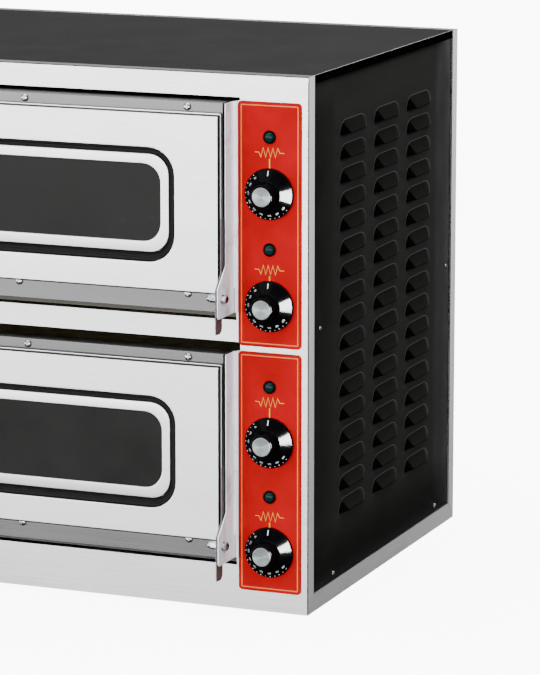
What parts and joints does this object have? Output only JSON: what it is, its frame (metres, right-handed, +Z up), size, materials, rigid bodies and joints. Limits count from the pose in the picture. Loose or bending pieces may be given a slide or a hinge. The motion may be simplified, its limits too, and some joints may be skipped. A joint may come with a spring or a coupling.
{
  "type": "countertop pizza oven",
  "caption": "Stacked-deck electric countertop pizza oven with drop-down glazed doors, red control strips with turning thermostat knobs, hearth stones and louvred black side panels.",
  "frame": {"origin": "on the counter under the middle of the whole object's box", "axes": "+Z up, front face and doors towards -Y, controls on the +X side"},
  "size_m": [0.9094, 0.74, 0.75],
  "materials": {
    "stainless_panel": "fine brushed",
    "door_steel": "fine brushed, satin",
    "bright_steel": "polished",
    "chamber_steel": "aluminised sheet, satin",
    "element_sheath": "heat darkened",
    "black_coat": "satin powder coat",
    "red_coat": "smooth satin film",
    "black_bakelite": "gloss",
    "lamp_lens": "gloss",
    "grey_plastic": "matt",
    "black_seal": "matt",
    "window_glass": "clear, tinted",
    "refractory_stone": "rough",
    "mineral_wool": "fibrous"
  },
  "bodies": {
    "body": {"fascia": "stainless_panel", "rear_panel": "stainless_panel", "base_pan": "stainless_panel", "top_cover": "black_coat", "side_panel_right": "black_coat", "side_panel_left": "black_coat", "control_panel_lower": "red_coat", "thermostat_1": "grey_plastic", "pilot_lamp_1": "lamp_lens", "thermostat_2": "grey_plastic", "pilot_lamp_2": "lamp_lens", "mouth_frame_lower": "stainless_panel", "chamber_lower": "chamber_steel", "insulation_lower": "mineral_wool", "hearth_stone_lower": "refractory_stone", "bottom_element_lower": "element_sheath", "top_element_lower": "element_sheath", "hinge_cheek_lower_right": "stainless_panel", "hinge_bolt_lower_right": "bright_steel", "hinge_cheek_lower_left": "stainless_panel", "hinge_bolt_lower_left": "bright_steel", "control_panel_upper": "red_coat", "thermostat_3": "grey_plastic", "pilot_lamp_3": "lamp_lens", "thermostat_4": "grey_plastic", "pilot_lamp_4": "lamp_lens", "mouth_frame_upper": "stainless_panel", "chamber_upper": "chamber_steel", "insulation_upper": "mineral_wool", "hearth_stone_upper": "refractory_stone", "bottom_element_upper": "element_sheath", "top_element_upper": "element_sheath", "hinge_cheek_upper_right": "stainless_panel", "hinge_bolt_upper_right": "bright_steel", "hinge_cheek_upper_left": "stainless_panel", "hinge_bolt_upper_left": "bright_steel", "cable_gland": "black_seal", "terminal_block": "grey_plastic"},
    "door_lower": {"door_lever_lower_right": "stainless_panel", "door_lever_lower_left": "stainless_panel", "door_skin_lower": "door_steel", "door_pan_lower": "door_steel", "door_glass_lower": "window_glass", "window_seal_lower": "black_seal", "door_handle_lower": "black_bakelite"},
    "knob_1": {"knob_1": "black_bakelite", "thermostat_shaft_1": "bright_steel"},
    "knob_2": {"knob_2": "black_bakelite", "thermostat_shaft_2": "bright_steel"},
    "door_upper": {"door_lever_upper_right": "stainless_panel", "door_lever_upper_left": "stainless_panel", "door_skin_upper": "door_steel", "door_pan_upper": "door_steel", "door_glass_upper": "window_glass", "window_seal_upper": "black_seal", "door_handle_upper": "black_bakelite"},
    "knob_3": {"knob_3": "black_bakelite", "thermostat_shaft_3": "bright_steel"},
    "knob_4": {"knob_4": "black_bakelite", "thermostat_shaft_4": "bright_steel"}
  },
  "joints": [
    {"name": "door_lower_hinge", "type": "hinge", "parent": "body", "child": "door_lower", "pos_m": [0, -0.303, 0.1], "axis": [1, 0, 0], "range_deg": [0, 90]},
    {"name": "door_upper_hinge", "type": "hinge", "parent": "body", "child": "door_upper", "pos_m": [0, -0.303, 0.4465], "axis": [1, 0, 0], "range_deg": [0, 90]},
    {"name": "knob_1_turn", "type": "hinge", "parent": "body", "child": "knob_1", "pos_m": [0.3935, -0.27, 0.086], "axis": [0, 1, 0], "range_deg": [0, 285]},
    {"name": "knob_2_turn", "type": "hinge", "parent": "body", "child": "knob_2", "pos_m": [0.3935, -0.27, 0.2414], "axis": [0, 1, 0], "range_deg": [0, 285]},
    {"name": "knob_3_turn", "type": "hinge", "parent": "body", "child": "knob_3", "pos_m": [0.3935, -0.27, 0.4325], "axis": [0, 1, 0], "range_deg": [0, 285]},
    {"name": "knob_4_turn", "type": "hinge", "parent": "body", "child": "knob_4", "pos_m": [0.3935, -0.27, 0.5879], "axis": [0, 1, 0], "range_deg": [0, 285]}
  ]
}
